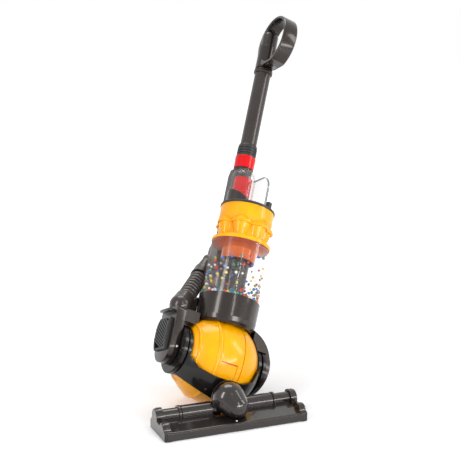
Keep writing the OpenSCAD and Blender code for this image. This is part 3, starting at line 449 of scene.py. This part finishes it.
# Rounded band round the shoulder of each cyclone cone, open towards the cyclone's middle
coneBands = {"axis": (0.0, -0.0125, 0.1985), "count": 7, "first": 0.53, "out": 0.0302, "inner": 0.0160,
             "outer": 0.0187, "low": 0.0225, "high": 0.0268, "edge": 0.0009, "sweep": 200.0, "steps": 40}
bm = bmesh.new()
sweep = math.radians(coneBands["sweep"])
for k in range(coneBands["count"]):
    turn = math.tau * (k + coneBands["first"]) / coneBands["count"]
    place = Matrix.Rotation(turn, 4, "Z") @ Matrix.Translation((coneBands["out"], 0, 0))
    start = place @ Matrix.Rotation(-sweep / 2, 4, "Z")
    end = bm.faces.new([bm.verts.new(start @ Vector((r, 0.0, z))) for r, z in ringSection(coneBands)])
    bmesh.ops.spin(bm, geom=[end], cent=place.translation, axis=(0, 0, 1), angle=sweep, steps=coneBands["steps"])
finishPiece(bm, "coneBands", "yellowGlossAbs", "body", None, bodyFrame @ Matrix.Translation(coneBands["axis"]))
print("cone bands made")


# Clear wall of the dust bin, finely divided so that the softboxes run down it as clean streaks
binWall = {"axis": (0.0, -0.0125, 0.0), "outer": 0.0483, "inner": 0.0467, "low": 0.095, "high": 0.1925,
           "edge": 0.0003, "steps": 160}
bm = bmesh.new()
spinOutline(bm, ringSection(binWall), binWall["steps"])
finishPiece(bm, "binWall", "clearStyrene", "body", ["bin_clear"], bodyFrame @ Matrix.Translation(binWall["axis"]))
print("bin wall made")


# Cut edge of the clear fin, with a painted dark reflection that makes it darker than its faces: up the front, round
# the bend and back to the tower.
# foot and bend are y and z
finEdge = {"left": 0.0074, "right": 0.0106, "foot": (-0.05235, 0.2595), "bend": (-0.0262, 0.290), "end": 0.003,
           "thick": 0.0011, "steps": 24}
bm = bmesh.new()
edge = bm.edges.new([bm.verts.new((x, *finEdge["foot"])) for x in (finEdge["left"], finEdge["right"])])
rise = pushEdges(bm, [edge], (0, 0, finEdge["bend"][1] - finEdge["foot"][1]))
turned = bmesh.ops.spin(bm, geom=pick(rise, (BMVert, BMEdge)), cent=(0, *finEdge["bend"]), axis=(1, 0, 0),
                        angle=-math.pi / 2, steps=finEdge["steps"])["geom_last"]
pushEdges(bm, pick(turned, BMEdge), (0, finEdge["end"] - finEdge["bend"][0], 0))
bmesh.ops.remove_doubles(bm, verts=bm.verts, dist=tiny)
bmesh.ops.recalc_face_normals(bm, faces=bm.faces)
bmesh.ops.solidify(bm, geom=bm.faces[:], thickness=finEdge["thick"])
finishPiece(bm, "finEdge", "paintedDarkEdgeStyrene", "body", None, bodyFrame)
print("fin edge made")


# More beads: a row round the rim of the cup, and loose ones that cling to the clear wall by their charge.
# The loose ones go round by turn radians, and climb and settle spread them over the height, more of them low down
binBeads = {"axis": (0.0, -0.0125, 0.0), "seat": 0.0439, "radius": 0.0025, "sides": (16, 10), "rowHeight": 0.1019,
            "row": 52, "loose": 62, "low": 0.1055, "high": 0.176, "first": 0.9, "turn": 2.39996, "climb": 0.754878,
            "settle": 1.4, "stride": 4, "colours": ("red", "blue", "green", "yellow", "white"),
            "order": (2, 2, 2, 0, 0, 4, 4, 1, 2, 0, 3, 1), "mix": (0, 1, 3, 2, 0, 3, 1, 2, 4)}
rowOrder, looseMix = binBeads["order"], binBeads["mix"]
for shade, colour in enumerate(binBeads["colours"]):
    bm = bmesh.new()
    spots = [(math.tau * k / binBeads["row"], binBeads["rowHeight"]) for k in range(binBeads["row"])
             if rowOrder[k % len(rowOrder)] == shade]
    for k in range(binBeads["loose"]):
        if looseMix[(binBeads["stride"] * k + k // len(looseMix)) % len(looseMix)] == shade:
            share = ((k * binBeads["climb"]) % 1.0) ** binBeads["settle"]
            spots.append((binBeads["turn"] * k + binBeads["first"],
                          binBeads["low"] + share * (binBeads["high"] - binBeads["low"])))
    for angle, height in spots:
        out = Vector((math.cos(angle) * binBeads["seat"], math.sin(angle) * binBeads["seat"], height))
        bmesh.ops.create_uvsphere(bm, u_segments=binBeads["sides"][0], v_segments=binBeads["sides"][1],
                                  radius=binBeads["radius"],
                                  matrix=Matrix.Translation(Vector(binBeads["axis"]) + out))
    finishPiece(bm, colour + "Beads", colour + "BeadStyrene", "body", None, bodyFrame)
print("beads made")


# Screw heads and the small lamp lens that show in the photograph, as low buttons with a rounded rim
button = {"sides": 32, "taper": 0.86, "rim": 0.5, "rimSteps": 3}
smallParts = {
    "boxScrew": {"place": (-0.0574, 0.0725, 0.1089), "face": (0.141, -0.934, 0.328), "radius": 0.0021,
                 "rise": 0.0009, "finish": "drawnSteel", "body": "body"},
    "yokeScrew": {"place": (-0.0261, 0.0326, 0.0477), "face": (-0.498, -0.818, -0.287), "radius": 0.0026,
                  "rise": 0.0010, "finish": "blackMattePolypropylene", "body": "yoke"},
    "lampLens": {"place": (0.0001, -0.0280, 0.0147), "face": (0.0, -0.159, 0.987), "radius": 0.0016,
                 "rise": 0.0008, "finish": "whiteFanAbs", "body": "floor_head"},
}
for name, part in smallParts.items():
    bm = bmesh.new()
    bmesh.ops.create_cone(bm, cap_ends=True, segments=button["sides"], radius1=part["radius"],
                          radius2=part["radius"] * button["taper"], depth=2 * part["rise"])
    rims = [e for e in bm.edges if all(v.co.z > 0 for v in e.verts)]
    roundEdges(bm, rims, part["rise"] * button["rim"], button["rimSteps"])
    finishPiece(bm, name, part["finish"], part["body"], None,
                Matrix.Translation(part["place"]) @ turnTo(part["face"]))
print("small parts made")


# Studio: pale floor, white surroundings and softboxes
studio = {"floor": 12.0, "world": 0.22, "white": 1.0, "paper": 0.95, "pool": 0.15, "poolSize": 1.6,
          "reflects": 0.9, "rough": 0.9, "aim": (0.08, 0.15, 0.25)}
plainWhite = hexColor("#ffffff")


# 1 for rays from the camera and for mirrored and transmitted ones, so that gloss and clear walls show the white too
def seenDirectly(tree):
    path = addNode(tree, "ShaderNodeLightPath")
    total = path.outputs["Is Camera Ray"]
    for kind in ("Is Glossy Ray", "Is Transmission Ray"):
        both = addNode(tree, "ShaderNodeMath", {"operation": "MAXIMUM"}, {0: total, 1: path.outputs[kind]})
        total = both.outputs["Value"]
    return total


floorMesh = bpy.data.meshes.new("paleFloor")
bm = bmesh.new()
bmesh.ops.create_grid(bm, x_segments=1, y_segments=1, size=studio["floor"])
bm.to_mesh(floorMesh)
bm.free()
floor = bpy.data.objects.new("paleFloor", floorMesh)
scene.collection.objects.link(floor)

# Backdrop paper, dull white: it glows less round the object, so that the shadow stays on it
paperMat, paperTree, paper, paperCoords = startFinish("whiteBackdropPaper")
poolPlace = addNode(paperTree, "ShaderNodeMapping",
                    {"vector_type": "TEXTURE", "Scale": (studio["poolSize"],) * 3}, {"Vector": paperCoords})
pool = addNode(paperTree, "ShaderNodeTexGradient", {"gradient_type": "SPHERICAL"},
               {"Vector": poolPlace.outputs["Vector"]})
glow = addNode(paperTree, "ShaderNodeMapRange", {"To Min": studio["paper"], "To Max": studio["pool"]},
               {"Value": pool.outputs["Fac"]})
paperGlow = addNode(paperTree, "ShaderNodeMapRange", {"To Min": 0.0},
                    {"Value": seenDirectly(paperTree), "To Max": glow.outputs["Result"]})
paperWhite = (studio["reflects"], studio["reflects"], studio["reflects"], 1.0)
setNode(paperTree, paper,
        {"Base Color": paperWhite, "Roughness": studio["rough"], "Emission Color": plainWhite},
        {"Emission Strength": paperGlow.outputs["Result"]})
floorMesh.materials.append(paperMat)

world = bpy.data.worlds.new("whiteStudio")
scene.world = world
world.use_nodes = True
worldTree = world.node_tree
worldTree.nodes.clear()
level = addNode(worldTree, "ShaderNodeMapRange", {"To Min": studio["world"], "To Max": studio["white"]},
                {"Value": seenDirectly(worldTree)})
back = addNode(worldTree, "ShaderNodeBackground", {"Color": plainWhite}, {"Strength": level.outputs["Result"]})
addNode(worldTree, "ShaderNodeOutputWorld", {}, {"Surface": back.outputs["Background"]})

softboxes = {
    "keyLeft": {"place": (-1.25, -0.35, 0.95), "size": (0.34, 1.1), "power": 12.0},
    "stripFront": {"place": (0.16, -1.25, 0.75), "size": (0.09, 1.1), "power": 4.5},
    "lowFront": {"place": (0.5, -1.6, 0.46), "size": (1.8, 0.2), "power": 15.0},
    "fillRight": {"place": (1.25, -0.55, 0.9), "size": (0.35, 0.9), "power": 6.5},
    "topRear": {"place": (0.2, 0.7, 1.7), "size": (1.1, 0.7), "power": 11.5},
}
for name, box in softboxes.items():
    lamp = bpy.data.lights.new(name, "AREA")
    lamp.shape = "RECTANGLE"
    lamp.size, lamp.size_y = box["size"]
    lamp.energy = box["power"]
    stand = bpy.data.objects.new(name, lamp)
    stand.location = box["place"]
    stand.rotation_euler = (Vector(studio["aim"]) - Vector(box["place"])).to_track_quat("-Z", "Y").to_euler()
    scene.collection.objects.link(stand)
print("studio lit")
